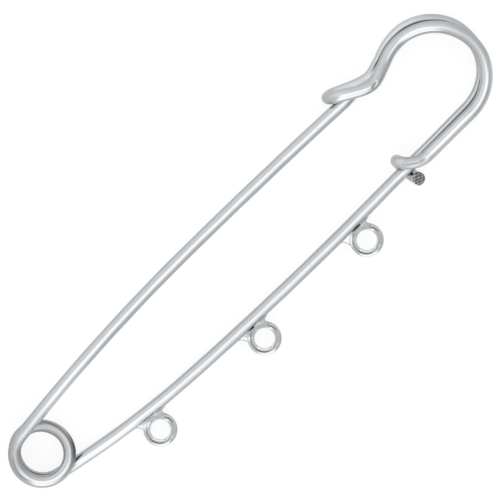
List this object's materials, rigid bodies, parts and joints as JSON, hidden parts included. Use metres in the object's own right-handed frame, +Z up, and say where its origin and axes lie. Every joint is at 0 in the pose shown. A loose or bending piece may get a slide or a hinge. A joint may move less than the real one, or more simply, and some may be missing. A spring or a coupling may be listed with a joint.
{
  "type": "safety pin brooch",
  "caption": "Kilt-pin style safety pin brooch of one bent bright wire, with a sprung coil, a looped head that forms the catch, and soldered rings for charms along its spine.",
  "frame": {"origin": "on the surface the pin lies on, under the middle of its box", "axes": "+X along the pin from the coil to the head, +Y from the spine towards the pin arm, +Z up from the surface"},
  "size_m": [0.075, 0.018, 0.0045],
  "materials": {
    "plated_wire": "polished bright plating"
  },
  "bodies": {
    "pin_frame": {"spine": "plated_wire", "coil_spring": "plated_wire", "head_and_catch": "plated_wire"},
    "arm": {"pin_arm": "plated_wire"}
  },
  "joints": [
    {"name": "arm_hinge", "type": "hinge", "parent": "pin_frame", "child": "arm", "pos_m": [-0.0335, 0.00143, 0.00308], "axis": [0, 0, -1], "range_deg": [0, 8], "stiffness_Nm_per_rad": 0.7, "springref_deg": -5.73, "deforming": ["coil_spring"]}
  ]
}
